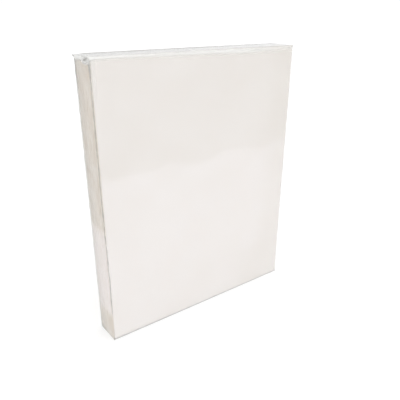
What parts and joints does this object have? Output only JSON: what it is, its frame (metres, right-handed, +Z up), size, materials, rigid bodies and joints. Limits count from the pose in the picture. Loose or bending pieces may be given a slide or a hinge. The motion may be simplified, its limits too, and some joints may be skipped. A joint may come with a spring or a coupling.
{
  "type": "stretched canvas",
  "caption": "Upright artist's canvas: primed cloth stretched over mitred stretcher bars with sliding corner keys, stapled at the back and sealed in clear film.",
  "frame": {"origin": "middle of the footprint, on the surface the canvas stands on", "axes": "+Z up the painting face, +X to the right seen from the front, -Y out of the painting face"},
  "size_m": [0.257, 0.0342, 0.3078],
  "materials": {
    "primed_cloth": "matt acrylic-primed cotton",
    "pine": "planed, unfinished",
    "key_wood": "sawn, unfinished",
    "galvanised_steel": "galvanised wire",
    "clear_film": "clear, glossy, heat-shrunk"
  },
  "bodies": {
    "stretched_frame": {"primed_canvas": "primed_cloth", "shrink_film": "clear_film", "top_bar": "pine", "bottom_bar": "pine", "left_bar": "pine", "right_bar": "pine", "top_staple_1": "galvanised_steel", "top_staple_2": "galvanised_steel", "top_staple_3": "galvanised_steel", "top_staple_4": "galvanised_steel", "bottom_staple_1": "galvanised_steel", "bottom_staple_2": "galvanised_steel", "bottom_staple_3": "galvanised_steel", "bottom_staple_4": "galvanised_steel", "left_staple_1": "galvanised_steel", "left_staple_2": "galvanised_steel", "left_staple_3": "galvanised_steel", "left_staple_4": "galvanised_steel", "left_staple_5": "galvanised_steel", "right_staple_1": "galvanised_steel", "right_staple_2": "galvanised_steel", "right_staple_3": "galvanised_steel", "right_staple_4": "galvanised_steel", "right_staple_5": "galvanised_steel", "top_left_fold_staple": "galvanised_steel", "top_right_fold_staple": "galvanised_steel", "bottom_left_fold_staple": "galvanised_steel", "bottom_right_fold_staple": "galvanised_steel"},
    "top_left_upright_key": {"top_left_upright_key": "key_wood"},
    "top_left_level_key": {"top_left_level_key": "key_wood"},
    "top_right_upright_key": {"top_right_upright_key": "key_wood"},
    "top_right_level_key": {"top_right_level_key": "key_wood"},
    "bottom_left_upright_key": {"bottom_left_upright_key": "key_wood"},
    "bottom_left_level_key": {"bottom_left_level_key": "key_wood"},
    "bottom_right_upright_key": {"bottom_right_upright_key": "key_wood"},
    "bottom_right_level_key": {"bottom_right_level_key": "key_wood"}
  },
  "joints": [
    {"name": "top_left_upright_key_slide", "type": "slide", "parent": "stretched_frame", "child": "top_left_upright_key", "axis": [0, 0, -1], "range_m": [0, 0.022]},
    {"name": "top_left_level_key_slide", "type": "slide", "parent": "stretched_frame", "child": "top_left_level_key", "axis": [1, 0, 0], "range_m": [0, 0.022]},
    {"name": "top_right_upright_key_slide", "type": "slide", "parent": "stretched_frame", "child": "top_right_upright_key", "axis": [0, 0, -1], "range_m": [0, 0.022]},
    {"name": "top_right_level_key_slide", "type": "slide", "parent": "stretched_frame", "child": "top_right_level_key", "axis": [-1, 0, 0], "range_m": [0, 0.022]},
    {"name": "bottom_left_upright_key_slide", "type": "slide", "parent": "stretched_frame", "child": "bottom_left_upright_key", "axis": [0, 0, 1], "range_m": [0, 0.022]},
    {"name": "bottom_left_level_key_slide", "type": "slide", "parent": "stretched_frame", "child": "bottom_left_level_key", "axis": [1, 0, 0], "range_m": [0, 0.022]},
    {"name": "bottom_right_upright_key_slide", "type": "slide", "parent": "stretched_frame", "child": "bottom_right_upright_key", "axis": [0, 0, 1], "range_m": [0, 0.022]},
    {"name": "bottom_right_level_key_slide", "type": "slide", "parent": "stretched_frame", "child": "bottom_right_level_key", "axis": [-1, 0, 0], "range_m": [0, 0.022]}
  ]
}
